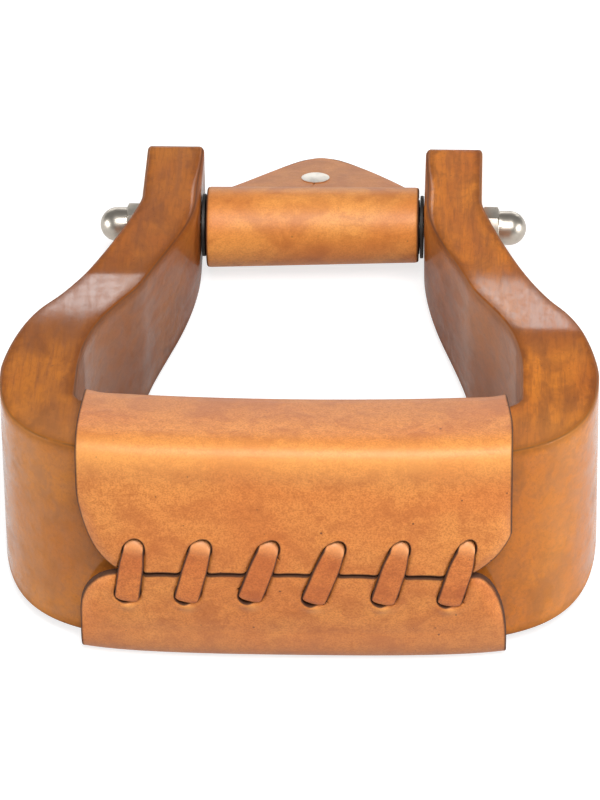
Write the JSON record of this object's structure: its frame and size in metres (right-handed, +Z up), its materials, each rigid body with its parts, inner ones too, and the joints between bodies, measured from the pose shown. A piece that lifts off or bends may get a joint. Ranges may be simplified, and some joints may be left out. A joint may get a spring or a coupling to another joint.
{
  "type": "western stirrup",
  "caption": "Wooden bell stirrup with S-curved cheeks, a leather-covered tread laced along its underside, and a leather roller that turns on a bolt between the necks.",
  "frame": {"origin": "centre of the bounding box's base, on the surface that the stirrup lies on", "axes": "+X along the roller bolt, +Y from the tread towards the neck ends, +Z up from the surface that it lies on"},
  "size_m": [0.1718, 0.2112, 0.0748],
  "materials": {
    "frame_wood": "varnished, antiqued orange brown",
    "dowel_wood": "bare beech",
    "cover_leather": "oiled tan, smooth grain side out",
    "lace_leather": "oiled russet thong",
    "bright_nickel": "polished nickel plate",
    "plated_steel": "dull zinc plate",
    "black_plastic": "matte"
  },
  "bodies": {
    "frame": {"right_cheek": "frame_wood", "left_cheek": "frame_wood", "tread_board": "frame_wood", "right_dowel_upper": "dowel_wood", "right_dowel_lower": "dowel_wood", "left_dowel_upper": "dowel_wood", "left_dowel_lower": "dowel_wood", "tread_cover": "cover_leather", "tread_lace": "lace_leather", "axle_rod": "plated_steel", "right_cap_nut": "bright_nickel", "left_cap_nut": "bright_nickel", "right_washer": "plated_steel", "left_washer": "plated_steel", "spacer_tube": "plated_steel"},
    "roller": {"roller_core": "black_plastic", "roller_cover": "cover_leather", "flap_rivet_cap": "bright_nickel", "flap_rivet_post": "bright_nickel"}
  },
  "joints": [
    {"name": "roller_spin", "type": "hinge", "parent": "frame", "child": "roller", "pos_m": [0, 0.0656, 0.01651], "axis": [1, 0, 0], "continuous": true}
  ]
}
